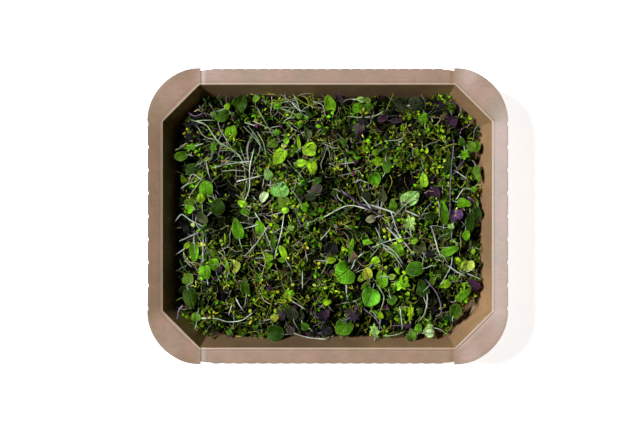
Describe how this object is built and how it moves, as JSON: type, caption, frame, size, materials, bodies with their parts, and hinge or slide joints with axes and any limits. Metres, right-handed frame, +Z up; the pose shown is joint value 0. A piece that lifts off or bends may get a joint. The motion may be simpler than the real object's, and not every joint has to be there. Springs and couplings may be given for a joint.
{
  "type": "microgreens tray",
  "caption": "Open eight-sided kraft board tray with flat flanges all round, heaped with loose cut microgreens: small leaves in mixed greens and purples on thin pale stems.",
  "frame": {"origin": "middle of the tray's bottom face, on the surface that it stands on", "axes": "+X along the long side of the tray, +Y along its short side, +Z up out of its opening"},
  "size_m": [0.225, 0.1844, 0.0473],
  "materials": {
    "board": "uncoated kraft board, matt, with darker flecks",
    "bed": "matted small leaves, satin",
    "bright": "fresh leaf, satin",
    "lime": "young yellow-green leaf, satin",
    "deep": "dark green leaf, satin",
    "pale": "leaf seen from its pale underside, satin",
    "plum": "dark purple leaf, satin",
    "stalk": "pale juicy stem, slightly glossy",
    "plum_stalk": "purple stem, slightly glossy"
  },
  "bodies": {
    "root": {"tray": "board", "bed": "bed", "leaf_sprig_01": "bright", "leaf_sprig_02": "deep", "leaf_sprig_03": "bright", "leaf_sprig_04": "lime", "leaf_sprig_05": "bright", "leaf_sprig_06": "lime", "leaf_sprig_07": "bright", "leaf_sprig_08": "pale", "leaf_sprig_09": "bright", "leaf_sprig_10": "bright", "leaf_sprig_11": "lime", "leaf_sprig_12": "lime", "leaf_sprig_13": "bright", "leaf_sprig_14": "deep", "leaf_sprig_15": "bright", "leaf_sprig_16": "bright", "leaf_sprig_17": "bright", "leaf_sprig_18": "pale", "leaf_sprig_19": "lime", "leaf_sprig_20": "deep", "leaf_sprig_21": "bright", "leaf_sprig_22": "bright", "leaf_sprig_23": "bright", "leaf_sprig_24": "bright", "leaf_sprig_25": "pale", "leaf_sprig_26": "deep", "leaf_sprig_27": "lime", "leaf_sprig_28": "bright", "leaf_sprig_29": "bright", "leaf_sprig_30": "bright", "leaf_sprig_31": "bright", "leaf_sprig_32": "pale", "leaf_sprig_33": "deep", "leaf_sprig_34": "bright", "leaf_sprig_35": "bright", "leaf_sprig_36": "lime", "leaf_sprig_37": "bright", "leaf_sprig_38": "deep", "plum_sprig_01": "plum", "plum_sprig_02": "plum", "plum_sprig_03": "plum", "plum_sprig_04": "plum", "plum_sprig_05": "plum", "plum_sprig_06": "plum", "stalk_01": "stalk", "stalk_02": "stalk", "stalk_03": "stalk", "stalk_04": "stalk", "stalk_05": "stalk", "stalk_06": "stalk", "stalk_07": "plum_stalk", "stalk_08": "stalk", "stalk_09": "stalk", "stalk_10": "stalk", "stalk_11": "stalk", "stalk_12": "stalk", "stalk_13": "plum_stalk", "stalk_14": "stalk"}
  },
  "joints": []
}
